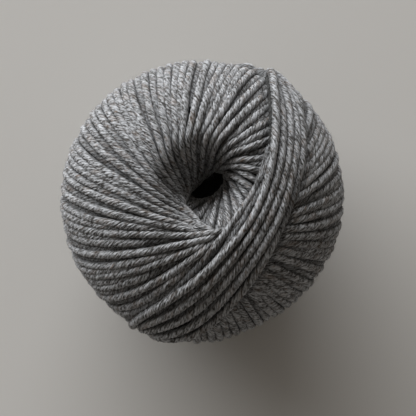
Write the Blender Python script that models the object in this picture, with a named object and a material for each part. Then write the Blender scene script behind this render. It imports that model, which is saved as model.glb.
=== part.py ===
"""Ball of yarn, wound by machine round a spindle and pulled from its middle.

The winder lays each turn as a tilted great circle, a little further round than the turn
before it.  No turn crosses the axis itself, so a deep hollow is left at the top.  Towards it
the turns crowd together, and every second one is pressed under its neighbours.

Axes: +Z up along the spindle, origin on the surface that the ball rests on.  Metres.
"""

import math

import bmesh
import bpy
import numpy as np

# ---- driving sizes ---------------------------------------------------------------------
BALL_DIAMETER = 0.1025        # over the newest band, which stands out
WOUND_HEIGHT = 0.0775         # of the whole spheroid, before the top sinks and the base flattens
YARN_DIAMETER = 0.0029
REST_CUT = 0.00095            # how far the ball's own weight has flattened its base
REST_SPOT_RADIUS = 0.0105
LEVEL_BASE_RADIUS = 0.030     # within it the base is pressed to one level, whatever turn shows

HOLLOW_DEPTH = 0.030          # of the hollow that the spindle left, below the dish round it
HOLLOW_RADIUS = 0.0082        # where the hollow has sunk to 1/e of its depth
DISH_DEPTH = 0.005            # of the wide dip that leads into the hollow
DISH_RADIUS = 0.017
PILE_HEIGHT = 0.0026          # how far the waist stands out where the newest turns pile up
PILE_AZIMUTH_DEG = 266
PILE_WIDTH_DEG = 18
BARE_DEPTH = 0.001            # of the hollow's floor, where no turn lies, below the profile
SINK_IN_HOLLOW = 0.4          # share of the full sinking there, where all turns touch the spindle
SINK_RANGE = (0.007, 0.020)   # radii between which the sinking becomes full

TURNS = 172                   # the newest ones, which are all that shows
BAND_TURNS = 5                # the newest ones, laid side by side over the rest
BAND_RISE = 0.0013
RISE_PER_ROUND = 0.0044       # two layers of yarn, pressed together, for each full round
PRESSED_DEPTH = 0.0016        # of a turn squeezed under its neighbours where turns crowd
CLOSEST_APART = 16            # turns nearer than this share of the yarn count as crowded fully
LIE_STEP = 0.618              # spreads neighbouring turns over all heights of lie
LIE_START = 0.95              # the newest turn lies high
LIE_DEPTH = 0.0004            # how unevenly the turns lie
LIE_IN_CROWD = 0.7            # how unevenly they give way, against the law of every second one
ORDER_START = 4               # so that the outermost turn of the newest band holds its place
CROWN_DROP = 0.0013           # from a turn's top to the groove beside it
CROWN_REACH = 1.15            # how far a turn spreads sideways, against its round radius

# ---- winding plan, newest turn first ----------------------------------------------------
# turn: count back from the newest; node: azimuth at which the turn climbs over the waist;
# tilt: how far its great circle passes from the axis, seen from the ball's centre; bow: how
# much further out it bows where it passes the axis.  Degrees.
WINDING_PLAN = (
    # turn, node, tilt, bow
    (0, 240, -2, 25),
    (4, 246, 38, -2),
    (11, 238, 18, 0),
    (22, 203, 21, 0),
    (33, 170, 17, 0),
    (40, 147, 10, 2),
    (56, 92, -2, 9),
    (70, 47, -2, 6),
    (85, -2, 1, 4),
    (99, -52, 6, 1),
    (125, -133, 5, 1),
    (150, -215, 1, 4),
    (172, -288, 1, 4),
)

# ---- mesh sizes -------------------------------------------------------------------------
COLUMNS = 420                 # round the axis
ROWS = 270                    # from the middle of the base to the floor of the hollow
TRIANGLES = 11000
PROFILE_STEPS = 4000          # used to measure along the profile
ANGLE_STEP = 1e-4             # radians, for slopes
BASE_TOLERANCE = 2e-5         # points nearer than this to the surface lie on it
ALMOST_ONE = 0.999            # keeps the division finite at a turn's own pole

YARN_RADIUS = YARN_DIAMETER / 2
WAIST_RADIUS = BALL_DIAMETER / 2 - YARN_RADIUS      # of the surface the yarn's centre lies on
HALF_HEIGHT = WOUND_HEIGHT / 2 - YARN_RADIUS
WAIST_Z = WOUND_HEIGHT / 2 - REST_CUT

WOOL_GREY = (0.16, 0.16, 0.155, 1)


def profile(polar):
    """Radius and height of the surface that the newest turns lie on, by angle from the top."""
    radius = WAIST_RADIUS * np.sin(polar)
    hollow = HOLLOW_DEPTH * np.exp(-(radius / HOLLOW_RADIUS) ** 2)
    dish = DISH_DEPTH * np.exp(-(radius / DISH_RADIUS) ** 2)
    height = HALF_HEIGHT * np.cos(polar) - np.where(polar < math.pi / 2, hollow + dish, 0.0)
    return radius, height


def profile_slope(polar):
    """Rate at which radius and height change along the profile."""
    radius_before, height_before = profile(polar - ANGLE_STEP)
    radius_after, height_after = profile(polar + ANGLE_STEP)
    span = 2 * ANGLE_STEP
    return (radius_after - radius_before) / span, (height_after - height_before) / span


def pile(polar, azimuth):
    """How far the side stands out at the newest turns' pile."""
    aside = (azimuth - math.radians(PILE_AZIMUTH_DEG) + math.pi) % (2 * math.pi) - math.pi
    return PILE_HEIGHT * np.sin(polar) ** 2 * np.exp(-(aside / math.radians(PILE_WIDTH_DEG)) ** 2)


def even_rows():
    """Polar angles of rows that lie evenly along the profile, from the base to the hollow."""
    fine = np.linspace(math.pi, 0, PROFILE_STEPS)
    radius, height = profile(fine)
    run = np.concatenate([[0], np.cumsum(np.hypot(np.diff(radius), np.diff(height)))])
    return np.interp(np.linspace(0, run[-1], ROWS + 2)[1:-1], run, fine)


def give_way_order(turn):
    """How soon a turn gives way in a crowd: 0 for every second one, 1 for every fourth..."""
    order = 0
    while turn % 2 == 0 and order < 4:
        turn //= 2
        order += 1
    return order


def winding():
    """Each turn's plane and bow, how both change to the next turn, and how deep it lies."""
    plan = np.array(WINDING_PLAN, dtype=float)
    turn = np.arange(TURNS)
    node_deg = np.interp(turn, plan[:, 0], plan[:, 1])
    tilt = np.radians(np.interp(turn, plan[:, 0], plan[:, 2]))
    bow = np.sin(np.radians(np.interp(turn, plan[:, 0], plan[:, 3])))
    node = np.radians(node_deg)
    normal = np.stack([np.cos(tilt) * np.sin(node), -np.cos(tilt) * np.cos(node), np.sin(tilt)], axis=1)
    climb = np.cross(normal, np.stack([np.cos(node), np.sin(node), np.zeros(TURNS)], axis=1))
    sunk = RISE_PER_ROUND * (node_deg[0] - node_deg) / 360 + np.where(turn < BAND_TURNS, 0, BAND_RISE)
    lie = (LIE_START + turn * LIE_STEP) % 1 - 0.5
    holds_out = np.array([give_way_order(number + ORDER_START) for number in turn]) + LIE_IN_CROWD * lie
    return normal, climb, bow, np.gradient(normal, axis=0), np.gradient(bow), sunk, lie, holds_out


def relief(polar, azimuth):
    """Height of the yarn over the profile at every grid point: the highest turn wins."""
    radius, _ = profile(polar)
    radius_slope, height_slope = profile_slope(polar)
    run = np.hypot(radius_slope, height_slope)
    around = np.stack([-np.sin(azimuth), np.cos(azimuth), np.zeros_like(azimuth)], axis=-1)
    outward = np.stack(
        [np.sin(polar) * np.cos(azimuth), np.sin(polar) * np.sin(azimuth), np.cos(polar)], axis=-1)
    downward = np.stack(
        [np.cos(polar) * np.cos(azimuth), np.cos(polar) * np.sin(azimuth), -np.sin(polar)], axis=-1)
    sinking_at_base = np.interp(radius, [REST_SPOT_RADIUS, LEVEL_BASE_RADIUS], [0, 1])
    sinking_at_top = np.interp(radius, SINK_RANGE, [SINK_IN_HOLLOW, 1])
    sinking = np.where(polar > math.pi / 2, sinking_at_base, sinking_at_top)
    reach = CROWN_REACH * YARN_RADIUS

    height = np.full(polar.shape, -np.inf)
    for normal, climb, bow, normal_step, bow_step, sunk, lie, holds_out in zip(*winding()):
        off_plane = outward @ normal
        arc = (outward @ climb) / np.sqrt(1 - np.minimum(off_plane ** 2, ALMOST_ONE))
        bowed = arc * np.abs(arc)
        # distances in metres, because the hollow stretches the profile
        gradient = np.hypot((downward @ normal) / run, (around @ normal) * np.sin(polar) / radius)
        across = (off_plane + bow * bowed) / gradient
        apart = np.abs(outward @ normal_step + bow_step * bowed) / gradient
        crowding = np.log2(YARN_DIAMETER / np.maximum(apart, YARN_DIAMETER / CLOSEST_APART))
        pressed = np.clip(crowding - holds_out, 0, 1)
        depth = sunk * sinking + PRESSED_DEPTH * pressed - LIE_DEPTH * lie
        top = YARN_RADIUS - CROWN_DROP * (across / YARN_RADIUS) ** 2 - depth
        height = np.where(np.abs(across) < reach, np.maximum(height, top), height)
    return np.where(np.isinf(height), -BARE_DEPTH, height)


def wound_mesh():
    """The wound body as a closed grid: relief on the profile, and a pole at each end."""
    row_polar = even_rows()
    azimuth_row = np.linspace(0, 2 * math.pi, COLUMNS, endpoint=False)
    polar, azimuth = np.meshgrid(row_polar, azimuth_row, indexing="ij")
    radius, height = profile(polar)
    radius_slope, height_slope = profile_slope(polar)
    run = np.hypot(radius_slope, height_slope)
    lift = relief(polar, azimuth)
    radius = radius - lift * height_slope / run + pile(polar, azimuth)
    height = height + lift * radius_slope / run + WAIST_Z

    # the ball's weight presses everything that would pass the surface flat on it
    base = polar > math.pi / 2
    pressed = base & ((height < 0) | (radius < REST_SPOT_RADIUS))
    height = np.where(pressed, 0.0, height)

    grid = np.stack([radius * np.cos(azimuth), radius * np.sin(azimuth), height], axis=-1)
    hollow_floor = profile(np.array([0.0]))[1][0] + WAIST_Z - BARE_DEPTH
    points = [(0.0, 0.0, 0.0)] + grid.reshape(-1, 3).tolist() + [(0.0, 0.0, hollow_floor)]

    def at(row, column):
        return 1 + row * COLUMNS + column % COLUMNS

    last = len(points) - 1
    faces = []
    for column in range(COLUMNS):
        faces.append((0, at(0, column + 1), at(0, column)))
        faces.append((last, at(ROWS - 1, column), at(ROWS - 1, column + 1)))
    for row in range(ROWS - 1):
        for column in range(COLUMNS):
            faces.append((at(row, column), at(row, column + 1), at(row + 1, column + 1), at(row + 1, column)))
    mesh = bpy.data.meshes.new("wound_grid")
    mesh.from_pydata(points, [], faces)
    return mesh


def thinned(mesh):
    """The same shape in fewer faces, kept long and narrow along the yarn, with its base true."""
    grid_object = bpy.data.objects.new("wound_grid", mesh)
    bpy.context.scene.collection.objects.link(grid_object)
    thin = grid_object.modifiers.new("thin", "DECIMATE")
    thin.ratio = TRIANGLES / (2 * COLUMNS * ROWS)
    thin.use_collapse_triangulate = True
    depsgraph = bpy.context.evaluated_depsgraph_get()
    result = bpy.data.meshes.new_from_object(grid_object.evaluated_get(depsgraph))
    bpy.data.objects.remove(grid_object)

    shape = bmesh.new()
    shape.from_mesh(result)
    for vertex in shape.verts:
        if vertex.co.z < BASE_TOLERANCE:
            vertex.co.z = 0.0
    bmesh.ops.recalc_face_normals(shape, faces=shape.faces)
    shape.to_mesh(result)
    shape.free()
    return result


def wool_material():
    """Plain grey wool: matt, and not metal."""
    material = bpy.data.materials.new("grey_wool")
    material.use_nodes = True
    shader = material.node_tree.nodes["Principled BSDF"]
    shader.inputs["Base Color"].default_value = WOOL_GREY
    shader.inputs["Roughness"].default_value = 0.95
    shader.inputs["Metallic"].default_value = 0.0
    return material


for old in list(bpy.data.objects):
    bpy.data.objects.remove(old)

ball_mesh = thinned(wound_mesh())
ball_mesh.materials.clear()
ball_mesh.materials.append(wool_material())
ball = bpy.data.objects.new("yarn_ball", ball_mesh)
bpy.context.scene.collection.objects.link(ball)
print("yarn_ball", len(ball_mesh.polygons), "faces", [round(size, 4) for size in ball.dimensions])
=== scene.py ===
# %% [markdown]
# # A machine-wound ball of wool
# A yarn winder turns a thin spindle while an arm lays the yarn on it.  Every turn of the arm
# lays one tilted loop, and the spindle creeps on by about a yarn's width before the next.
# The loops build a slightly flattened ball whose turns fan round a deep hollow, where the
# spindle was.  This notebook dresses the plain solid of that ball with its real turns of
# plied yarn, one after another, the way the winder laid them.

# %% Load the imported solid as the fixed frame
import math
import bpy
import numpy as np
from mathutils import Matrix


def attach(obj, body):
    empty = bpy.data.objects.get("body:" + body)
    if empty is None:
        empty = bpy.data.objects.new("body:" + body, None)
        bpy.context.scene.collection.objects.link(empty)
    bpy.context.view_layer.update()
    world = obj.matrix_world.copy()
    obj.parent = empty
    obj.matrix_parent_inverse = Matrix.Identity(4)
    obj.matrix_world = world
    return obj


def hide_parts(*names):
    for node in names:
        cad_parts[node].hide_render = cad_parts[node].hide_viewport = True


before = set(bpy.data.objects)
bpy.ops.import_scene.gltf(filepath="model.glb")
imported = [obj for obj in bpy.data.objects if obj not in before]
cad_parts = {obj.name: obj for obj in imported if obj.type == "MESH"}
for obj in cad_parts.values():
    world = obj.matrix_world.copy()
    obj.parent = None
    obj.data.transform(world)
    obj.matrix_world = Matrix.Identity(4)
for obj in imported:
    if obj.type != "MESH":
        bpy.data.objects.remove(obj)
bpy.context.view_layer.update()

# %% [markdown]
# ## The surface that the turns lie on
# The ball could be scanned or sculpted, but a winder follows a law, and a law gives every
# turn its exact place.  The newest turns lie on a spheroid whose top dips into a wide dish
# and then into the spindle's hollow.  Where the newest turns pile up, its waist stands out a
# little.  Once the spindle was drawn out, the hollow closed up towards a slit and leaned
# aside.  A point of the surface is named by its angle from the top (`polar`) and its angle
# round the axis (`azimuth`).

# %% Sizes of the ball, in metres
BALL_DIAMETER = 0.1025
WOUND_HEIGHT = 0.0775
YARN_DIAMETER = 0.0029
REST_CUT = 0.00095            # how far the underside is pressed in where the ball rests
HOLLOW_DEPTH = 0.030
HOLLOW_RADIUS = 0.0082
DISH_DEPTH = 0.005
DISH_RADIUS = 0.017

HOLLOW_LEAN = (0.0030, 0.0045)  # how far the hollow leans aside, in x and y
HOLLOW_SQUEEZE = 0.5          # share of its width that the hollow loses as it closes up
SQUEEZE_AZIMUTH_DEG = 127     # direction in which it gets narrower
MOST_CLOSED_UP = 0.6          # share of the lean and the squeeze that is ever reached

PILE_HEIGHT = 0.0026          # how far the waist stands out where the newest turns pile up
PILE_AZIMUTH_DEG = 266
PILE_WIDTH_DEG = 18

YARN_RADIUS = YARN_DIAMETER / 2
WAIST_RADIUS = BALL_DIAMETER / 2 - YARN_RADIUS
HALF_HEIGHT = WOUND_HEIGHT / 2 - YARN_RADIUS
WAIST_Z = WOUND_HEIGHT / 2 - REST_CUT


def profile(polar):
    """Radius and height of the winding surface, by angle from the top."""
    radius = WAIST_RADIUS * np.sin(polar)
    hollow = HOLLOW_DEPTH * np.exp(-(radius / HOLLOW_RADIUS) ** 2)
    dish = DISH_DEPTH * np.exp(-(radius / DISH_RADIUS) ** 2)
    height = HALF_HEIGHT * np.cos(polar) - np.where(polar < math.pi / 2, hollow + dish, 0.0)
    return radius, height


SLOPE_STEP = 1e-4             # radians to either side over which a slope is measured


def profile_slope(polar):
    """Rate at which radius and height change with the angle, and the length of both."""
    radius_before, height_before = profile(polar - SLOPE_STEP)
    radius_after, height_after = profile(polar + SLOPE_STEP)
    radius_slope = (radius_after - radius_before) / (2 * SLOPE_STEP)
    height_slope = (height_after - height_before) / (2 * SLOPE_STEP)
    return radius_slope, height_slope, np.hypot(radius_slope, height_slope)


def pile(polar, azimuth):
    """How far the side stands out where the newest turns pile up."""
    aside = (azimuth - math.radians(PILE_AZIMUTH_DEG) + math.pi) % (2 * math.pi) - math.pi
    fall_off = np.exp(-(aside / math.radians(PILE_WIDTH_DEG)) ** 2)
    return PILE_HEIGHT * np.sin(polar) ** 2 * fall_off


def closed_up(polar, azimuth, out):
    """How far a place moved in x and y when the spindle left: most well down in the hollow."""
    radius, _ = profile(polar)
    share = np.minimum(np.exp(-(radius / HOLLOW_RADIUS) ** 2), MOST_CLOSED_UP)
    share = np.where(polar < math.pi / 2, share, 0.0)
    squeezed_along = math.radians(SQUEEZE_AZIMUTH_DEG)
    squeeze = HOLLOW_SQUEEZE * out * np.cos(azimuth - squeezed_along)
    move_x = HOLLOW_LEAN[0] - squeeze * math.cos(squeezed_along)
    move_y = HOLLOW_LEAN[1] - squeeze * math.sin(squeezed_along)
    return share * move_x, share * move_y


def surface(polar, azimuth, lift):
    """Points at a height over the winding surface, with the surface's own directions there."""
    radius, height = profile(polar)
    radius_slope, height_slope, run = profile_slope(polar)
    normal_out, normal_up = -height_slope / run, radius_slope / run
    cosine, sine = np.cos(azimuth), np.sin(azimuth)
    out = radius + lift * normal_out + pile(polar, azimuth)
    move_x, move_y = closed_up(polar, azimuth, out)
    up = height + lift * normal_up + WAIST_Z
    points = np.stack([out * cosine + move_x, out * sine + move_y, up], axis=-1)
    normals = np.stack([normal_out * cosine, normal_out * sine, normal_up], axis=-1)
    return points, normals


# %% [markdown]
# ## The winding plan
# Seen from the ball's centre each turn is a great circle.  Two numbers place it: the azimuth
# at which it climbs over the ball's waist (`node`), and how far it misses the axis (`tilt`).
# Most turns miss the axis only by the spindle's radius.  The newest five run wider, as a
# band that crosses the top beside the hollow and hides part of it, and the ones before them
# fan out from that band.  The plan is kept as a short list, and every turn is read off
# between its rows.

# %% The plan, newest turn first, and each turn's own plane
WINDING_PLAN = (
    # turn, node, tilt, bow (degrees)
    (0, 240, -2, 25),
    (4, 246, 38, -2),
    (11, 238, 18, 0),
    (22, 203, 21, 0),
    (33, 170, 17, 0),
    (40, 147, 10, 2),
    (56, 92, -2, 9),
    (70, 47, -2, 6),
    (85, -2, 1, 4),
    (99, -52, 6, 1),
    (125, -133, 5, 1),
    (150, -215, 1, 4),
    (172, -288, 1, 4),
)
TURNS = 172
STRAY_DEG = 0.14              # how far a turn strays from the plan
FIRST_STRAYING_TURN = 8
STRAY_SEED = 5

plan = np.array(WINDING_PLAN, dtype=float)
turn_number = np.arange(TURNS)
stray = np.random.default_rng(STRAY_SEED).normal(0, STRAY_DEG, (2, TURNS))
stray[:, :FIRST_STRAYING_TURN] = 0
node_deg = np.interp(turn_number, plan[:, 0], plan[:, 1])
tilt_deg = np.interp(turn_number, plan[:, 0], plan[:, 2])
bow = np.sin(np.radians(np.interp(turn_number, plan[:, 0], plan[:, 3])))


def plane_normals(node, tilt):
    """Unit normals of turns that climb over the waist at a node with a tilt, in degrees."""
    node, tilt = np.radians(node), np.radians(tilt)
    level = np.cos(tilt)
    return np.stack([level * np.sin(node), -level * np.cos(node), np.sin(tilt)], axis=1)


turn_normal = plane_normals(node_deg + stray[0], tilt_deg + stray[1])
start_azimuth = np.radians(node_deg + stray[0])
turn_start = np.stack([np.cos(start_azimuth), np.sin(start_azimuth), np.zeros(TURNS)], axis=1)
turn_climb = np.cross(turn_normal, turn_start)
normal_step = np.gradient(plane_normals(node_deg, tilt_deg), axis=0)
bow_step = np.gradient(bow)
print(TURNS, "turns over", round(node_deg[0] - node_deg[-1]), "degrees of winding")

# %% [markdown]
# ## How deep each turn lies
# A turn lies under everything wound after it, so the ball rises by about a yarn and a half
# for each full round of the spindle, and older turns have sunk by that much.  The newest five
# run side by side over all the others.  Away from the waist the turns crowd together, and
# near the hollow they squeeze each other to three quarters of their width.  Even so, where
# two turns have room for one, every second one is pressed under its neighbours, and closer
# to the hollow every second one of those that are left.

# %% Sinking and giving way
BAND_TURNS = 5
BAND_RISE = 0.0013            # how high the band lies over the turns before it
RISE_PER_ROUND = 0.0044       # how much the ball grows with each full round of the spindle
SINK_IN_HOLLOW = 0.4          # share of that growth that is left in the hollow
SINK_RANGE = (0.007, 0.020)   # radii between which that share rises to the whole
REST_SPOT_RADIUS = 0.0105     # turns of the underside don't sink inside this radius
LEVEL_BASE_RADIUS = 0.030     # and sink fully outside this one

below_band = np.where(turn_number < BAND_TURNS, 0, BAND_RISE)
sunk = RISE_PER_ROUND * (node_deg[0] - node_deg) / 360 + below_band

LIE_STEP = 0.618              # from turn to turn, so that no pattern repeats
LIE_START = 0.95
LIE_DEPTH = 0.0004            # how much higher the highest turn lies than the lowest
LIE_IN_CROWD = 0.7            # how much sooner the lowest gives way than the highest
ORDER_START = 4               # settles which turns are the ones that give way first
HIGHEST_ORDER = 4

lie = (LIE_START + turn_number * LIE_STEP) % 1 - 0.5


def give_way_order(turn):
    """How soon a turn gives way in a crowd: 0 for every second one, 1 for every fourth..."""
    order = 0
    while turn % 2 == 0 and order < HIGHEST_ORDER:
        turn //= 2
        order += 1
    return order


turn_order = np.array([give_way_order(turn + ORDER_START) for turn in range(TURNS)])
holds_out = turn_order + LIE_IN_CROWD * lie
print("turns that give way first:", int((turn_order == 0).sum()))

# %% Lift of a turn at any place
PRESSED_DEPTH = 0.0016        # how far a turn is pressed down for each halving of its room
PRESSED_LAYERS = 1.4          # halvings at which it is pressed down no further
CLOSEST_APART = 1 / 16        # no two turns count as nearer than this share of a yarn's width
SQUEEZED_RANGE = (0.009, 0.030)
SQUEEZED_WIDTH = (0.74, 1.0)  # share of a yarn's width left at either end of that range
LEAST_RADIUS = 1e-6           # no radius counts as less, because zero can't be divided by
MOST_OFF_PLANE = 0.999        # and no place as farther from a turn's plane, for that reason


def width_share(polar, radius):
    """Share of its width that a yarn keeps where the turns squeeze together near the hollow."""
    return np.where(polar < math.pi / 2, np.interp(radius, SQUEEZED_RANGE, SQUEEZED_WIDTH), 1.0)


def spread_over(polar, azimuth, vector, run, radius):
    """How fast the distance along a vector changes for each metre moved on the surface."""
    cosine, sine = np.cos(azimuth), np.sin(azimuth)
    outwards = cosine * vector[0] + sine * vector[1]
    down = (np.cos(polar) * outwards - np.sin(polar) * vector[2]) / run
    around = (cosine * vector[1] - sine * vector[0]) * np.sin(polar) / radius
    return np.hypot(down, around)


def place_of(turn, direction, polar, azimuth):
    """Distance from a turn, and its lift over the winding surface, at any directions."""
    radius, _ = profile(polar)
    run = profile_slope(polar)[2]
    clear_radius = np.maximum(radius, LEAST_RADIUS)
    gradient = spread_over(polar, azimuth, turn_normal[turn], run, clear_radius)
    off_plane = direction @ turn_normal[turn]
    in_plane = np.sqrt(1 - np.minimum(off_plane ** 2, MOST_OFF_PLANE))
    arc = (direction @ turn_climb[turn]) / in_plane
    bowed = arc * np.abs(arc)
    across = (off_plane + bow[turn] * bowed) / gradient
    apart = np.abs(direction @ normal_step[turn] + bow_step[turn] * bowed) / gradient
    room = YARN_DIAMETER * width_share(polar, radius)
    crowding = np.log2(room / np.maximum(apart, YARN_DIAMETER * CLOSEST_APART))
    pressed = np.clip(crowding - holds_out[turn], 0, PRESSED_LAYERS)
    at_base = np.interp(radius, [REST_SPOT_RADIUS, LEVEL_BASE_RADIUS], [0, 1])
    at_top = np.interp(radius, SINK_RANGE, [SINK_IN_HOLLOW, 1])
    sinking = np.where(polar > math.pi / 2, at_base, at_top)
    return across, LIE_DEPTH * lie[turn] - sunk[turn] * sinking - PRESSED_DEPTH * pressed


# %% [markdown]
# ## Which stretches of yarn show
# All turns together would be forty-five metres of yarn, and over two thirds of it is buried.
# To keep the model light, a grid over the ball first finds the height of the topmost yarn
# everywhere.  Each turn is then compared with it, and only the stretches that reach it are
# built, a little longer at both ends so that they dive under their neighbours.  Where two
# newer turns lie over a place, much older ones are out of sight there, however little they
# have sunk: without this, the crowd of old turns in the hollow would read as felt.

# %% Height of the topmost yarn, on a grid
GRID_ROWS = 260
GRID_COLUMNS = 400
PROFILE_SAMPLES = 4000
NO_YARN = -0.006              # height that counts where no turn passes
COVERING_TURNS = 2            # a turn is out of sight where this many newer ones lie over it,
LATER_TURNS = 8               # all of them wound at least this many turns later
COVERING_WIDTH = 0.9          # share of a yarn's half width that hides what is below

fine_polar = np.linspace(math.pi, 0, PROFILE_SAMPLES)
fine_radius, fine_height = profile(fine_polar)
fine_steps = np.hypot(np.diff(fine_radius), np.diff(fine_height))
fine_run = np.concatenate([[0], np.cumsum(fine_steps)])
row_run = np.linspace(0, fine_run[-1], GRID_ROWS + 2)[1:-1]
row_polar = np.interp(row_run, fine_run, fine_polar)
column_azimuth = np.linspace(0, 2 * math.pi, GRID_COLUMNS, endpoint=False)


def topmost_yarn():
    """Height of the highest turn at each grid point, and the first turn out of sight there."""
    polar, azimuth = np.meshgrid(row_polar, column_azimuth, indexing="ij")
    level = np.sin(polar)
    direction = np.stack([level * np.cos(azimuth), level * np.sin(azimuth), np.cos(polar)], axis=-1)
    top = np.full(polar.shape, NO_YARN)
    covers = np.zeros(polar.shape, dtype=int)
    oldest = np.full(polar.shape, TURNS)
    width = width_share(polar, profile(polar)[0])
    for turn in range(TURNS):
        away, lift = place_of(turn, direction, polar, azimuth)
        away = away / width
        crown = np.sqrt(np.maximum(YARN_RADIUS ** 2 - away ** 2, 0))
        top = np.where((crown > 0) & (turn < oldest), np.maximum(top, crown + lift), top)
        over = np.abs(away) < COVERING_WIDTH * YARN_RADIUS
        covers += over
        oldest = np.where(over & (covers == COVERING_TURNS), turn + LATER_TURNS, oldest)
    return top, oldest


yarn_top, oldest_in_sight = topmost_yarn()
lowest, highest = (round(height * 1000, 2) for height in (yarn_top.min(), yarn_top.max()))
print("topmost yarn lies from", lowest, "to", highest, "mm")

# %% Stretches of each turn that reach the top
PATH_SAMPLES = 1441
RING_SPACING = 0.0008         # between the rings of points along a yarn
HIDDEN_MARGIN = 0.0004        # a yarn whose top is this far below the topmost one is buried
ACROSS_SAMPLES = (-0.85, -0.5, 0.0, 0.5, 0.85)
BURIED_TAIL = 4               # rings built past each end of a stretch that shows
SHORTEST_SHOWN = 6            # rings in a row that have to show for a stretch to be built
WAVER = 0.00018               # sideways waver of a yarn that isn't under tension
WAVES_PER_TURN = (3, 5, 9)
WAVER_SEED = 11
LEAST_TURNING_RADIUS = 1e-3   # no azimuth is reckoned on a smaller circle than this

waver_random = np.random.default_rng(WAVER_SEED)


def lookup(grid, polar, azimuth):
    """Value of a grid at any points, from the nearest grid point."""
    run = np.interp(-polar, -fine_polar, fine_run)
    row = np.clip(np.round(run / fine_run[-1] * (GRID_ROWS + 1)).astype(int) - 1, 0, GRID_ROWS - 1)
    column = np.round(azimuth / (2 * math.pi) * GRID_COLUMNS).astype(int) % GRID_COLUMNS
    return grid[row, column]


def turn_path(turn):
    """Centre line of one turn at even spacing, with the surface's normals under it."""
    angle = np.linspace(0, 2 * math.pi, PATH_SAMPLES)
    direction = np.outer(np.cos(angle), turn_start[turn])
    direction = direction + np.outer(np.sin(angle), turn_climb[turn])
    for wave in WAVES_PER_TURN:
        phase = waver_random.uniform(0, 2 * math.pi)
        sway = WAVER / BALL_DIAMETER * np.sin(wave * angle + phase)
        direction = direction + np.outer(sway, turn_normal[turn])
    aside = -bow[turn] * np.sin(angle) * np.abs(np.sin(angle))
    direction = np.sqrt(1 - aside ** 2)[:, None] * direction + np.outer(aside, turn_normal[turn])
    direction /= np.linalg.norm(direction, axis=1)[:, None]
    polar = np.arccos(np.clip(direction[:, 2], -1, 1))
    azimuth = np.unwrap(np.arctan2(direction[:, 1], direction[:, 0]))
    _, lift = place_of(turn, direction, polar, azimuth)
    points, normals = surface(polar, azimuth, lift)
    steps = np.linalg.norm(np.diff(points, axis=0), axis=1)
    length = np.concatenate([[0], np.cumsum(steps)])
    even = np.linspace(0, length[-1], int(length[-1] / RING_SPACING))

    def at_rings(values):
        return np.interp(even, length, values)

    return {
        "points": np.stack([at_rings(points[:, axis]) for axis in range(3)], axis=1),
        "normals": np.stack([at_rings(normals[:, axis]) for axis in range(3)], axis=1),
        "polar": at_rings(polar),
        "azimuth": at_rings(azimuth),
        "lift": at_rings(lift),
        "length": even,
        "width": at_rings(width_share(polar, profile(polar)[0])),
    }


def showing(turn, path):
    """Whether each ring of a turn comes near the topmost yarn anywhere across its width."""
    tangent = np.gradient(path["points"], axis=0)
    tangent /= np.linalg.norm(tangent, axis=1)[:, None]
    sideways = np.cross(tangent, path["normals"])
    radius, _ = profile(path["polar"])
    radius_slope, height_slope, run = profile_slope(path["polar"])
    cosine, sine = np.cos(path["azimuth"]), np.sin(path["azimuth"])
    out, up = radius_slope / run, height_slope / run
    down = np.stack([out * cosine, out * sine, up], axis=1)
    around = np.stack([-sine, cosine, np.zeros_like(sine)], axis=1)
    turning_radius = np.maximum(radius, LEAST_TURNING_RADIUS)
    shows = np.zeros(len(run), dtype=bool)
    for share in ACROSS_SAMPLES:
        aside = share * YARN_RADIUS * path["width"]
        polar = path["polar"] + aside * (sideways * down).sum(axis=1) / run
        azimuth = path["azimuth"] + aside * (sideways * around).sum(axis=1) / turning_radius
        polar = np.clip(polar, 0, math.pi)
        top = path["lift"] + YARN_RADIUS * math.sqrt(1 - share ** 2)
        reaches = top > lookup(yarn_top, polar, azimuth) - HIDDEN_MARGIN
        shows |= reaches & (turn < lookup(oldest_in_sight, polar, azimuth))
    return shows


def runs_of(flags):
    """First ring and ring after the last of every unbroken run of flags."""
    edge = np.flatnonzero(np.diff(np.concatenate([[0], flags.astype(int), [0]])))
    return list(zip(edge[::2], edge[1::2]))


def stretches(shows):
    """First and last ring of every stretch to build, tails included and near ones joined."""
    kept = np.zeros(len(shows), dtype=bool)
    for first, last in runs_of(shows):
        kept[first:last] = last - first >= SHORTEST_SHOWN
    return runs_of(np.convolve(kept, np.ones(2 * BURIED_TAIL + 1), mode="same") > 0)


paths = [turn_path(turn) for turn in range(TURNS)]
built = [stretches(showing(turn, path)) for turn, path in enumerate(paths)]
ring_total = sum(last - first for turn in built for first, last in turn)
print("rings to build", ring_total, "of", sum(len(path["polar"]) for path in paths))

# %% [markdown]
# ## Painted shade between the turns
# The gaps between neighbouring turns get painted shade: their colour is darkened, so they look
# deeper than bare round tubes would under the lamp.  Each point of the yarn is therefore marked
# with how open it lies: one level with the turns around it, and less the deeper it is below them.
# one level with the turns around it, and less the deeper it is below them.

# %% How deep a place lies among the turns
OPEN_REACH = 0.0016           # distance over which a place is compared with its surroundings
OPEN_DEPTH = 0.0010           # depth at which two thirds of the openness is lost
WIDEST_REACH = GRID_COLUMNS // 8

row_step = row_run[1] - row_run[0]
column_step = column_azimuth[1]
row_reach = round(OPEN_REACH / row_step)
brow = yarn_top.copy()
for row, radius in enumerate(profile(row_polar)[0]):
    column_reach = min(round(OPEN_REACH / (radius * column_step)), WIDEST_REACH)
    for shift in range(1, column_reach + 1):
        for turned in (shift, -shift):
            brow[row] = np.maximum(brow[row], np.roll(yarn_top[row], turned))
brow_along_row = brow.copy()
for shift in range(1, row_reach + 1):
    brow[shift:] = np.maximum(brow[shift:], brow_along_row[:-shift])
    brow[:-shift] = np.maximum(brow[:-shift], brow_along_row[shift:])
print("turns stand out by", round(float((brow - yarn_top).mean() * 1000), 2), "mm on average")

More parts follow.
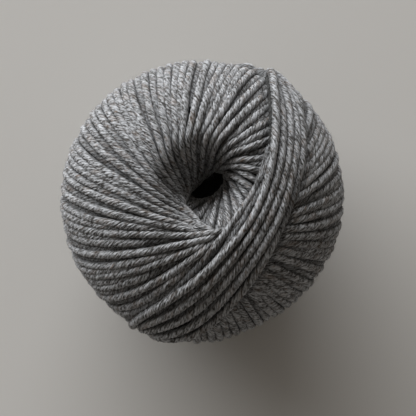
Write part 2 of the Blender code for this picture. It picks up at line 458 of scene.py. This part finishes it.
# %% [markdown]
# ## Plied yarn
# The yarn is six thin plies twisted together to the left, so each ply shows as a short slanted
# stroke.  A smooth tube with a bump map would look flat at its outline.  Instead each tube has
# twelve points round it, alternately on a ply's crest and in the groove beside it, and the
# whole ring turns as it moves along, so the tube's own edges follow the plies.

# %% Twisted tubes
PLIES = 6
RING_POINTS = 2 * PLIES
PLY_PITCH = 0.0118            # length of yarn in which a ply goes once round
CREST_RADIUS = 0.00147
GROOVE_RADIUS = 0.00125
UNEVEN_TWIST = 0.5            # radians by which the twist runs ahead or behind
THICK_AND_THIN = 0.05         # share by which the yarn varies in thickness
UNEVEN_PLY = 0.035            # share by which each ply stands out more or less than the others
TWIST_WAVES = ((310, 1), (83, 7))   # two waves: radians for a metre, and share of the phase
SWELL_WAVES = ((210, 3), (67, 5))
PLY_WAVE = (470, 2.4)         # radians for a metre of yarn, and from one ply to the next
FLOOR_CLEARANCE = 0.00002     # height of the lowest yarn over what the ball rests on
NEW_YARN_PER_RADIAN = 0.05    # so that no two turns carry the same fibres


def uneven(amount, waves, length, phase):
    """A number that wanders along the yarn: the product of two waves out of step."""
    (rate, share), (other_rate, other_share) = waves
    first = np.sin(length * rate + phase * share)
    return amount * first * np.sin(length * other_rate + phase * other_share)


def yarn_coordinates(along, row, column):
    """Distance along the yarn and place round it, at the four corners of each face."""
    lane, next_lane = column / RING_POINTS, column / RING_POINTS + 1 / RING_POINTS
    corners_u = np.stack([along[row], along[row], along[row + 1], along[row + 1]], axis=1)
    corners_v = np.stack([lane, next_lane, next_lane, lane], axis=1)
    return np.stack([corners_u, corners_v], axis=-1)


def tube(path, first, last, phase):
    """Points, faces, yarn coordinates and openness of one stretch."""
    points = path["points"][first:last]
    tangent = np.gradient(points, axis=0)
    tangent /= np.linalg.norm(tangent, axis=1)[:, None]
    normal = path["normals"][first:last]
    normal = normal - (normal * tangent).sum(axis=1)[:, None] * tangent
    normal /= np.linalg.norm(normal, axis=1)[:, None]
    sideways = np.cross(tangent, normal) * path["width"][first:last, None]

    length = path["length"][first:last]
    lobe = np.arange(RING_POINTS)
    twist = length * (2 * math.pi / PLY_PITCH) + uneven(UNEVEN_TWIST, TWIST_WAVES, length, phase)
    angle = lobe[None, :] * (2 * math.pi / RING_POINTS) - twist[:, None] + phase
    swell = 1 + uneven(THICK_AND_THIN, SWELL_WAVES, length, phase)
    ply_angle = length[:, None] * PLY_WAVE[0] + lobe[None, :] // 2 * PLY_WAVE[1] + phase
    ply_swell = 1 + UNEVEN_PLY * np.sin(ply_angle)
    bare_radius = np.where(lobe % 2 == 0, CREST_RADIUS, GROOVE_RADIUS)
    radius = bare_radius[None, :] * swell[:, None] * ply_swell
    cosine, sine = np.cos(angle), np.sin(angle)
    spread = cosine[..., None] * normal[:, None] + sine[..., None] * sideways[:, None]
    ring = points[:, None] + radius[..., None] * spread
    ring[..., 2] = np.maximum(ring[..., 2], FLOOR_CLEARANCE)

    # how far each point lies below the turns around it; the wool's colour is darkened by this as
    # painted shade
    around_it = lookup(brow, path["polar"][first:last], path["azimuth"][first:last])
    below = around_it[:, None] - path["lift"][first:last, None] - YARN_RADIUS * cosine
    openness = np.exp(-np.maximum(below, 0) / OPEN_DEPTH).ravel()

    near = np.arange((len(points) - 1) * RING_POINTS)
    row, column = np.divmod(near, RING_POINTS)
    beside = row * RING_POINTS + (column + 1) % RING_POINTS
    quads = np.stack([near, beside, beside + RING_POINTS, near + RING_POINTS], axis=1)
    along = length + phase * NEW_YARN_PER_RADIAN
    return ring.reshape(-1, 3), quads, yarn_coordinates(along, row, column), openness


# %% [markdown]
# ## From tubes to meshes
# Blender can add faces to a mesh one by one, but that is slow for hundreds of thousands.  Here
# whole lists of points and faces are handed over at once.  Every mesh gets two UV maps.  The
# first tells the wool where along and round the yarn a point is.  The second lays each face
# flat in a place of its own, so that the finish can also be baked into a picture.  The grooves
# between the plies are marked as sharp edges, or smooth shading would round them away.

# %% One mesh from many tubes
def joined_mesh(name, parts):
    """One mesh from many tubes, shaded smooth, with yarn coordinates in a UV map."""
    vertices, quads, coordinates, openness = [], [], [], []
    offset = 0
    for part_vertices, part_quads, part_coordinates, part_openness in parts:
        vertices.append(part_vertices)
        quads.append(part_quads + offset)
        coordinates.append(part_coordinates.reshape(-1, 2))
        openness.append(part_openness)
        offset += len(part_vertices)
    vertices, quads = np.concatenate(vertices), np.concatenate(quads)
    mesh = bpy.data.meshes.new(name)
    mesh.vertices.add(len(vertices))
    mesh.vertices.foreach_set("co", vertices.ravel())
    mesh.loops.add(quads.size)
    mesh.loops.foreach_set("vertex_index", quads.ravel())
    mesh.polygons.add(len(quads))
    mesh.polygons.foreach_set("loop_start", np.arange(0, quads.size, quads.shape[1]))
    mesh.polygons.foreach_set("use_smooth", np.ones(len(quads), dtype=bool))
    layer = mesh.uv_layers.new(name="yarn")
    layer.uv.foreach_set("vector", np.concatenate(coordinates).ravel())
    # openness of each point, by which the wool's colour gets painted shade in the gaps
    mark = mesh.attributes.new("openness", "FLOAT", "POINT")
    mark.data.foreach_set("value", np.concatenate(openness))
    mesh.update(calc_edges=True)
    mesh.validate()
    return mesh


# %% A place of its own for every face
ROW_MARGIN = 0.03             # share of a row left empty along each of its sides


def lay_out_for_baking(mesh, quads_round, quad_length, quad_width):
    """Second UV map that lays every quad flat in rows, each in a place of its own."""
    layer = mesh.uv_layers.new(name="OFBake")
    slices = len(mesh.polygons) // quads_round
    strip_width = quads_round * quad_width
    rows = max(1, round(math.sqrt(slices * quad_length / strip_width)))
    per_row = math.ceil(slices / rows)
    number = np.arange(slices * quads_round)
    piece_slice, lane = np.divmod(number, quads_round)
    row, place = np.divmod(piece_slice, per_row)
    left, right = place / per_row, (place + 1) / per_row
    used = 1 - 2 * ROW_MARGIN
    low = (row + ROW_MARGIN + lane / quads_round * used) / rows
    high = low + used / (quads_round * rows)
    corners = np.stack([left, low, left, high, right, high, right, low], axis=1)
    layer.uv.foreach_set("vector", corners.ravel())
    mesh.uv_layers["yarn"].active_render = True


# %% Sharp grooves
def crease_grooves(mesh):
    """Keep the grooves between plies sharp in shading, so that each ply looks round."""
    ends = np.empty(2 * len(mesh.edges), dtype=int)
    mesh.edges.foreach_get("vertices", ends)
    lower, upper = np.sort(ends.reshape(-1, 2), axis=1).T
    in_groove = (upper - lower == RING_POINTS) & (lower % 2 == 1)
    sharp = mesh.attributes.new("sharp_edge", "BOOLEAN", "EDGE")
    sharp.data.foreach_set("value", in_groove)


# %% [markdown]
# ## From turns to pieces
# One object for each stretch would be hundreds of objects.  The turns are joined into a few
# pieces instead, in the order in which they were wound, so that each stays light enough to
# handle and the newest band can still be picked out on its own.

# %% Pieces of yarn
PHASE_PER_TURN = 2.399        # radians, so that neighbouring turns don't twist in step

TURNS_TO_PIECE = (
    # piece, first turn, turn after its last
    ("newest_band", 0, 13),
    ("south_west_fan", 13, 30),
    ("west_fan", 30, 50),
    ("north_fan", 50, 72),
    ("east_fan", 72, 105),
    ("hollow_wall", 105, TURNS),
)

face_width = 2 * math.pi * CREST_RADIUS / RING_POINTS
yarn_pieces = []
for piece_name, first_turn, end_turn in TURNS_TO_PIECE:
    tubes = [
        tube(paths[turn], first, last, turn * PHASE_PER_TURN)
        for turn in range(first_turn, end_turn)
        for first, last in built[turn]
    ]
    piece_mesh = joined_mesh("yarn_" + piece_name, tubes)
    crease_grooves(piece_mesh)
    lay_out_for_baking(piece_mesh, RING_POINTS, RING_SPACING, face_width)
    piece = bpy.data.objects.new("yarn_" + piece_name, piece_mesh)
    bpy.context.scene.collection.objects.link(piece)
    yarn_pieces.append(piece)
    print(piece.name, 2 * len(piece_mesh.polygons), "triangles in", len(tubes), "stretches")

# %% [markdown]
# ## The yarn underneath
# Between the turns one can glimpse older yarn, never daylight.  A closed skin a little below
# the topmost yarn stands for it; its wool colour is darkened as painted shade.  It follows the
# same grid, so it also lines the hollow.

# %% Under-layer
UNDER_DEPTH = 0.0021          # how far it lies below the topmost yarn
UNDER_STEP = 2                # uses every second row and column of the grid
UNDER_YARNS = 108             # yarns side by side round the waist
UNDER_CLEARANCE = YARN_RADIUS / 2   # height of its lowest points


def under_layer():
    """A closed skin that follows the topmost yarn from below."""
    rows, columns = row_polar[::UNDER_STEP], column_azimuth[::UNDER_STEP]
    polar, azimuth = np.meshgrid(rows, columns, indexing="ij")
    lift = yarn_top[::UNDER_STEP, ::UNDER_STEP] - UNDER_DEPTH
    lift = np.minimum(lift, np.roll(lift, 1, axis=1))
    points, _ = surface(polar, azimuth, np.maximum(lift, NO_YARN))
    points[..., 2] = np.maximum(points[..., 2], UNDER_CLEARANCE)
    row_count, column_count = polar.shape
    hollow_z = profile(np.array([0.0]))[1][0] + WAIST_Z - YARN_RADIUS
    lean_x, lean_y = (lean * MOST_CLOSED_UP for lean in HOLLOW_LEAN)
    vertices = [(0, 0, UNDER_CLEARANCE), *points.reshape(-1, 3).tolist()]
    vertices.append((lean_x, lean_y, hollow_z))
    top = len(vertices) - 1

    def at(row, column):
        return 1 + row * column_count + column % column_count

    faces, places = [], []
    for column in range(column_count):
        last = row_count - 1
        faces.append((0, at(0, column + 1), at(0, column)))
        places += [(-1, column + 0.5), (0, column + 1), (0, column)]
        faces.append((top, at(last, column), at(last, column + 1)))
        places += [(row_count, column + 0.5), (last, column), (last, column + 1)]
    for row in range(row_count - 1):
        for column in range(column_count):
            corners = [(row, column), (row, column + 1), (row + 1, column + 1), (row + 1, column)]
            faces.append([at(*corner) for corner in corners])
            places += corners
    mesh = bpy.data.meshes.new("yarn_underneath")
    mesh.from_pydata(vertices, [], faces)
    mesh.shade_smooth()
    up, round_axis = np.array(places, dtype=float).T
    up, round_axis = (up + 1) / (row_count + 1), round_axis / column_count
    in_yarn = np.stack([up * fine_run[-1], round_axis * UNDER_YARNS], axis=1)
    mesh.uv_layers.new(name="yarn").uv.foreach_set("vector", in_yarn.ravel())
    flat = np.stack([round_axis, up], axis=1)
    mesh.uv_layers.new(name="OFBake").uv.foreach_set("vector", flat.ravel())
    mesh.uv_layers["yarn"].active_render = True
    piece = bpy.data.objects.new("yarn_underneath", mesh)
    bpy.context.scene.collection.objects.link(piece)
    return piece


underneath = under_layer()
print(underneath.name, len(underneath.data.polygons), "faces")

# %% [markdown]
# ## Loose fibres
# Wool is fuzzy: fibre ends stand off every yarn and soften its outline.  Painted fuzz can't
# leave the surface, so a few thousand real fibres are added.  Each is a thin, bent,
# three-sided hair that starts on a yarn that shows and bows back towards it.

# %% Centre lines of the fibres
FIBRES = 7000
FIBRE_SEED = 23
FIBRE_STEPS = 4
FIBRE_RADIUS = 0.000022
FIBRE_LENGTH = (0.0016, 0.0046)
FUZZY_STRETCH = 12            # a stretch of no more rings than this carries no fibres
BARE_RINGS = 2                # and these at either end of a longer one carry none
ROOT_LEAN = 1.2               # radians to either side of the top of the yarn at which one starts
HEAD_ALONG = (0.5, 1)         # how much of its way goes along the yarn
HEAD_ASIDE = 0.6              # and how much to one side, give or take
REACH = 0.8                   # share of its length that it covers that way
STAND_OFF = (0.15, 0.6)       # how steeply it leaves the yarn
BEND_BACK = 1.3               # share of its length at which it would meet the yarn again
SIDE_BOW = 0.5                # share of its length by which its tip bends to either side


def fibre_lines():
    """Points along the middle of every loose fibre."""
    random = np.random.default_rng(FIBRE_SEED)
    pool = [
        (turn, first + BARE_RINGS, last - BARE_RINGS)
        for turn in range(TURNS)
        for first, last in built[turn]
        if last - first > FUZZY_STRETCH
    ]
    weights = np.array([last - first for _, first, last in pool], dtype=float)
    chosen = random.choice(len(pool), FIBRES, p=weights / weights.sum())
    step = np.linspace(0, 1, FIBRE_STEPS + 1)[:, None]
    lines = np.empty((FIBRES, FIBRE_STEPS + 1, 3))
    for index, pick in enumerate(chosen):
        turn, first, last = pool[pick]
        ring = random.integers(first, last)
        points = paths[turn]["points"]
        along = points[ring + 1] - points[ring]
        along /= np.linalg.norm(along)
        out = paths[turn]["normals"][ring]
        aside = np.cross(along, out)
        lean = random.uniform(-ROOT_LEAN, ROOT_LEAN)
        root = out * math.cos(lean) + aside * math.sin(lean)
        heading = along * random.choice([-1, 1]) * random.uniform(*HEAD_ALONG)
        heading = heading + aside * random.normal(0, HEAD_ASIDE)
        size = random.uniform(*FIBRE_LENGTH)
        rise = random.uniform(*STAND_OFF)
        bow = random.uniform(-SIDE_BOW, SIDE_BOW)
        run = step * size
        line = points[ring] + root * GROOVE_RADIUS + heading * run * REACH
        line = line + root * (rise * run * (BEND_BACK - step))
        lines[index] = line + aside * (bow * size * step ** 2)
    lines[..., 2] = np.maximum(lines[..., 2], 2 * FIBRE_RADIUS)
    return lines


# %% A three-sided hair on every line
THICKNESS_AT_ROOT = 1.1       # as a share of the fibre's radius
THINNER_AT_TIP = 0.8          # how much of that share is lost on the way
OFF_EVERY_FIBRE = (0.31, 0.52, 0.79)   # a direction that no fibre runs in
FIBRE_APART = 0.013           # in yarn coordinates, so that each has a tone of its own


def hairs(centres):
    """All loose fibres as one mesh."""
    tangent = np.gradient(centres, axis=1)
    tangent /= np.linalg.norm(tangent, axis=2)[..., None]
    side = np.cross(tangent, np.array(OFF_EVERY_FIBRE))
    side /= np.linalg.norm(side, axis=2)[..., None]
    other = np.cross(tangent, side)
    step = np.linspace(0, 1, FIBRE_STEPS + 1)
    taper = FIBRE_RADIUS * (THICKNESS_AT_ROOT - THINNER_AT_TIP * step)
    ring = np.stack(
        [
            centres + taper[None, :, None] * (math.cos(turn) * side + math.sin(turn) * other)
            for turn in (0, 2 * math.pi / 3, 4 * math.pi / 3)
        ],
        axis=2,
    )
    per_fibre = 3 * (FIBRE_STEPS + 1)
    base = (np.arange(FIBRES) * per_fibre)[:, None, None]
    row = (np.arange(FIBRE_STEPS) * 3)[None, :, None]
    corner = np.arange(3)[None, None, :]
    near, far = base + row + corner, base + row + (corner + 1) % 3
    quads = np.stack([near, far, far + 3, near + 3], axis=-1).reshape(-1, 4)
    number = np.arange(len(quads)) // (3 * FIBRE_STEPS)
    coordinates = np.zeros((len(quads), 4, 2))
    coordinates[..., 0] = number[:, None] * FIBRE_APART
    vertices = ring.reshape(-1, 3)
    mesh = joined_mesh("loose_fibres", [(vertices, quads, coordinates, np.ones(len(vertices)))])
    lay_out_for_baking(mesh, 3, sum(FIBRE_LENGTH) / 2 / FIBRE_STEPS, 2 * FIBRE_RADIUS)
    return mesh


fibres = bpy.data.objects.new("loose_fibres", hairs(fibre_lines()))
bpy.context.scene.collection.objects.link(fibres)
print("loose fibres", 2 * len(fibres.data.polygons), "triangles")

# %% [markdown]
# ## Heathered wool
# The grey isn't dyed as one colour.  Light, mid and dark fibres are carded together, with a
# few brown ones, so every ply is a fine mixture of streaks that run along it.  The node group
# below makes that mixture from the yarn coordinates, where u runs along the yarn in metres
# and v once round it with the plies, so the streaks follow the twist by themselves.  It also
# paints shade into the grooves between the plies and the gaps between the turns.

# %% The fibre mixture as a shader node group
# each noise: length of its marks in metres, marks for each ply, detail, and its own depth
TUFTS = (0.0060, 0.8, 1.0, 0.0)
STREAKS = (0.0012, 2.6, 3.0, 7.0)
FLECKS = (0.0026, 1.1, 1.0, 13.0)
BROWN_TUFTS = (0.0075, 0.35, 2.0, 19.0)
# and the part of it that counts, from nothing to all
TUFT_RANGE = (0.34, 0.66)
STREAK_RANGE = (0.36, 0.64)
FLECK_RANGE = (0.65, 0.73)
BROWN_TUFT_RANGE = (0.54, 0.70)
STREAK_SHARE = 0.66           # of streaks in the grey
TUFT_SHARE = 0.34             # and of tufts
GREY_RANGE = (0.22, 0.78)
FLECK_BROWN = 0.6             # share of brown in the strongest fleck
TUFT_BROWN = 0.35             # and in the strongest brown tuft
GROOVE_START = 0.40           # share of the way from a ply's crest at which the painted groove shade begins
GROOVE_SHADE = 0.70           # painted shade: share of the colour left at the bottom of a groove between plies
OPEN_RANGE = (0.34, 0.62)     # openness between the bottom of a gap and open yarn, over which the painted gap shade fades
GAP_SHADE = 0.52              # painted shade: share of the colour left at the bottom of a gap between turns
ROUGHNESS = (0.82, 0.97)      # of dark and of light streaks
STREAK_RELIEF = 0.35          # height of a streak, where a ply has one


def fibre_group():
    """Shader node group: colour of carded wool with painted shade in grooves and gaps, roughness
    and relief on plied yarn.
    """
    group = bpy.data.node_groups.new("carded_wool_with_painted_shade", "ShaderNodeTree")
    for name in ("Light", "Dark", "Brown"):
        group.interface.new_socket(name, in_out="INPUT", socket_type="NodeSocketColor")
    group.interface.new_socket("Color", in_out="OUTPUT", socket_type="NodeSocketColor")
    for name in ("Roughness", "Relief"):
        group.interface.new_socket(name, in_out="OUTPUT", socket_type="NodeSocketFloat")
    nodes, links = group.nodes, group.links
    inputs = nodes.new("NodeGroupInput")
    outputs = nodes.new("NodeGroupOutput")
    yarn = nodes.new("ShaderNodeUVMap")
    yarn.uv_map = "yarn"

    def noise(length, per_ply, detail, depth):
        """Noise drawn out along the yarn; its number counts along the plies."""
        mapping = nodes.new("ShaderNodeMapping")
        mapping.inputs["Scale"].default_value = (1 / length, per_ply * PLIES, 1)
        mapping.inputs["Location"].default_value = (0, 0, depth)
        texture = nodes.new("ShaderNodeTexNoise")
        texture.inputs["Scale"].default_value = 1.0
        texture.inputs["Detail"].default_value = detail
        links.new(yarn.outputs["UV"], mapping.inputs["Vector"])
        links.new(mapping.outputs["Vector"], texture.inputs["Vector"])
        return texture.outputs["Fac"]

    def spread(value, low, high, to_low=0.0, to_high=1.0):
        """A range of values stretched or squeezed to another range."""
        ranged = nodes.new("ShaderNodeMapRange")
        ranged.inputs["From Min"].default_value = low
        ranged.inputs["From Max"].default_value = high
        ranged.inputs["To Min"].default_value = to_low
        ranged.inputs["To Max"].default_value = to_high
        links.new(value, ranged.inputs["Value"])
        return ranged.outputs["Result"]

    def give(socket, value):
        """Set a socket to a number, or link it to another node's output."""
        if isinstance(value, (int, float)):
            socket.default_value = value
        else:
            links.new(value, socket)

    def arithmetic(operation, *values):
        """Result of one sum on numbers or outputs."""
        node = nodes.new("ShaderNodeMath")
        node.operation = operation
        for socket, value in zip(node.inputs, values):
            give(socket, value)
        return node.outputs[0]

    def mixed(factor, first, second, blend="MIX"):
        """Two colours mixed by a factor."""
        mix = nodes.new("ShaderNodeMix")
        mix.data_type = "RGBA"
        mix.blend_type = blend
        factor_socket, first_socket, second_socket = (mix.inputs[index] for index in (0, 6, 7))
        give(factor_socket, factor)
        links.new(first, first_socket)
        links.new(second, second_socket)
        return mix.outputs[2]

    # v counts once round the yarn, so six plies are six steps of it
    split = nodes.new("ShaderNodeSeparateXYZ")
    links.new(yarn.outputs["UV"], split.inputs[0])
    beside = arithmetic("FRACT", arithmetic("MULTIPLY_ADD", split.outputs["Y"], PLIES, 0.5))
    off_crest = arithmetic("ABSOLUTE", arithmetic("MULTIPLY_ADD", beside, 2.0, -1.0))
    # painted shade in the grooves between plies, also used as their relief
    groove_shade_and_relief = spread(off_crest, GROOVE_START, 1.0, 1.0, GROOVE_SHADE)

    # grey from streaks and tufts, with some brown over it
    tuft = spread(noise(*TUFTS), *TUFT_RANGE)
    streak = spread(noise(*STREAKS), *STREAK_RANGE)
    tufts_only = arithmetic("MULTIPLY", tuft, TUFT_SHARE)
    both = arithmetic("MULTIPLY_ADD", streak, STREAK_SHARE, tufts_only)
    small_fleck = spread(noise(*FLECKS), *FLECK_RANGE, 0.0, FLECK_BROWN)
    brown_tuft = spread(noise(*BROWN_TUFTS), *BROWN_TUFT_RANGE, 0.0, TUFT_BROWN)
    fleck = arithmetic("MAXIMUM", small_fleck, brown_tuft)
    grey = mixed(spread(both, *GREY_RANGE), inputs.outputs["Dark"], inputs.outputs["Light"])
    heather = mixed(fleck, grey, inputs.outputs["Brown"])

    # painted shade: the colour is darker in the grooves between plies and in the gaps between turns
    mark = nodes.new("ShaderNodeAttribute")
    mark.attribute_name = "openness"
    painted_gap_shade = spread(mark.outputs["Fac"], *OPEN_RANGE, GAP_SHADE, 1.0)
    shade = arithmetic("MULTIPLY", groove_shade_and_relief, painted_gap_shade)
    links.new(mixed(1.0, heather, shade, "MULTIPLY"), outputs.inputs["Color"])
    links.new(spread(streak, 0.0, 1.0, *ROUGHNESS), outputs.inputs["Roughness"])
    relief = arithmetic("MULTIPLY_ADD", streak, STREAK_RELIEF, groove_shade_and_relief)
    links.new(relief, outputs.inputs["Relief"])
    return group


carded_wool_with_painted_shade = fibre_group()
print(carded_wool_with_painted_shade.name, "has", len(carded_wool_with_painted_shade.nodes), "nodes")

# %% Wool of the turns, of the yarn underneath and of the loose fibres
RELIEF_STRENGTH = 0.7
WOOL_SPECULAR = 0.2
SHEEN_ROUGHNESS = 0.6


def wool(name, light, dark, brown, relief, sheen):
    """A wool material that places the fibre mixture with its own colours."""
    material = bpy.data.materials.new(name)
    material.use_nodes = True
    nodes, links = material.node_tree.nodes, material.node_tree.links
    shader = nodes["Principled BSDF"]
    mixture = nodes.new("ShaderNodeGroup")
    mixture.node_tree = carded_wool_with_painted_shade
    mixture.inputs["Light"].default_value = (*light, 1)
    mixture.inputs["Dark"].default_value = (*dark, 1)
    mixture.inputs["Brown"].default_value = (*brown, 1)
    bump = nodes.new("ShaderNodeBump")
    bump.inputs["Strength"].default_value = RELIEF_STRENGTH
    bump.inputs["Distance"].default_value = relief
    links.new(mixture.outputs["Relief"], bump.inputs["Height"])
    links.new(bump.outputs["Normal"], shader.inputs["Normal"])
    links.new(mixture.outputs["Color"], shader.inputs["Base Color"])
    links.new(mixture.outputs["Roughness"], shader.inputs["Roughness"])
    shader.inputs["Specular IOR Level"].default_value = WOOL_SPECULAR
    shader.inputs["Sheen Weight"].default_value = sheen
    shader.inputs["Sheen Roughness"].default_value = SHEEN_ROUGHNESS
    return material


grey_wool = wool(
    "grey_wool",
    light=(0.53, 0.54, 0.56),
    dark=(0.050, 0.045, 0.040),
    brown=(0.22, 0.155, 0.115),
    relief=0.00025,
    sheen=0.12,
)
# the same wool in darker colours: painted shade for yarn deep under the turns.  With no openness
# mark, it also gets the full painted gap shade.
painted_shade_wool = wool(
    "painted_shade_wool",
    light=(0.16, 0.16, 0.155),
    dark=(0.04, 0.04, 0.04),
    brown=(0.07, 0.05, 0.035),
    relief=0.0002,
    sheen=0.0,
)
fibre_wool = wool(
    "fibre_wool",
    light=(0.55, 0.55, 0.54),
    dark=(0.22, 0.22, 0.22),
    brown=(0.25, 0.18, 0.13),
    relief=0.00001,
    sheen=0.0,
)
for piece in yarn_pieces:
    piece.data.materials.append(grey_wool)
underneath.data.materials.append(painted_shade_wool)
fibres.data.materials.append(fibre_wool)
print("wool materials:", grey_wool.name, painted_shade_wool.name, fibre_wool.name)

# %% [markdown]
# ## Fastening the pieces to the frame
# Every piece rides on the one body and stands for the plain solid, which is then hidden.

# %% Ride and replace
for piece in [*yarn_pieces, underneath, fibres]:
    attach(piece, "root")
    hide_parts("yarn_ball")

# %% [markdown]
# ## Light, floor and camera
# The picture was taken from almost straight above, with a long lens, in the light of one
# window behind and to the left.  A large soft lamp does the same here, with a weak fill from
# the sky so that the shaded side keeps its detail.

# %% Floor
FLOOR_HALF = 9.0
FLOOR_COLOUR = (0.62, 0.60, 0.57)
FLOOR_ROUGHNESS = 0.8


def studio_floor():
    """A plain pale floor just under the ball."""
    mesh = bpy.data.meshes.new("floor")
    sides = ((-1, -1), (1, -1), (1, 1), (-1, 1))
    corners = [(x * FLOOR_HALF, y * FLOOR_HALF, 0) for x, y in sides]
    mesh.from_pydata(corners, [], [(0, 1, 2, 3)])
    paint = bpy.data.materials.new("floor_paint")
    paint.use_nodes = True
    shader = paint.node_tree.nodes["Principled BSDF"]
    shader.inputs["Base Color"].default_value = (*FLOOR_COLOUR, 1)
    shader.inputs["Roughness"].default_value = FLOOR_ROUGHNESS
    mesh.materials.append(paint)
    floor = bpy.data.objects.new("floor", mesh)
    bpy.context.scene.collection.objects.link(floor)


studio_floor()

# %% Window light and sky
WINDOW_AZIMUTH_DEG = 114
WINDOW_ELEVATION_DEG = 20
WINDOW_DISTANCE = 3.0
WINDOW_SIZE = (4.7, 1.7)      # width and height
WINDOW_POWER = 186.0
WINDOW_COLOUR = (0.98, 1.0, 1.02)
SKY_COLOUR = (1.0, 0.92, 0.82)
SKY_STRENGTH = 0.15


def window_light():
    """A wide soft lamp aimed at the ball."""
    data = bpy.data.lights.new("window", "AREA")
    data.shape = "RECTANGLE"
    data.size, data.size_y = WINDOW_SIZE
    data.energy = WINDOW_POWER
    data.color = WINDOW_COLOUR
    lamp = bpy.data.objects.new("window", data)
    azimuth, elevation = math.radians(WINDOW_AZIMUTH_DEG), math.radians(WINDOW_ELEVATION_DEG)
    level = WINDOW_DISTANCE * math.cos(elevation)
    up = WAIST_Z + WINDOW_DISTANCE * math.sin(elevation)
    lamp.location = (level * math.cos(azimuth), level * math.sin(azimuth), up)
    aim = bpy.data.objects.new("window_aim", None)
    aim.location = (0, 0, WAIST_Z)
    track = lamp.constraints.new("TRACK_TO")
    track.target = aim
    bpy.context.scene.collection.objects.link(lamp)
    bpy.context.scene.collection.objects.link(aim)


window_light()
world = bpy.data.worlds.new("sky")
world.use_nodes = True
sky = world.node_tree.nodes["Background"]
sky.inputs["Color"].default_value = (*SKY_COLOUR, 1)
sky.inputs["Strength"].default_value = SKY_STRENGTH
bpy.context.scene.world = world
bpy.context.scene.view_settings.view_transform = "Standard"
print("window at", WINDOW_DISTANCE, "m, sky at", SKY_STRENGTH)

# %% Camera
CAMERA_ELEVATION = math.radians(82)
CAMERA_DISTANCE = 0.45
CAMERA_LENS = 112.0           # in millimetres, as the sensor's width
SENSOR = 36.0
PICTURE = 416                 # pixels along each side of the picture
BALL_CENTRE_PIXEL = (202.6, 197.0)

pixel = SENSOR / CAMERA_LENS / PICTURE * CAMERA_DISTANCE
back = np.array([0, -math.cos(CAMERA_ELEVATION), math.sin(CAMERA_ELEVATION)])
picture_up = np.array([0, math.sin(CAMERA_ELEVATION), math.cos(CAMERA_ELEVATION)])
picture_right = np.array([1.0, 0, 0])
centre = np.array([0, 0, WAIST_Z])
off_right, off_down = (PICTURE / 2 - place for place in BALL_CENTRE_PIXEL)
aim_point = centre + picture_right * off_right * pixel - picture_up * off_down * pixel
camera_data = bpy.data.cameras.new("camera")
camera_data.lens = CAMERA_LENS
camera_data.sensor_width = SENSOR
camera = bpy.data.objects.new("camera", camera_data)
camera.location = centre + back * CAMERA_DISTANCE
gaze = bpy.data.objects.new("gaze", None)
gaze.location = aim_point
follow = camera.constraints.new("TRACK_TO")
follow.target = gaze
follow.track_axis = "TRACK_NEGATIVE_Z"
follow.up_axis = "UP_Y"
bpy.context.scene.collection.objects.link(camera)
bpy.context.scene.collection.objects.link(gaze)
bpy.context.scene.camera = camera
print("one pixel covers", round(pixel * 1000, 3), "mm")
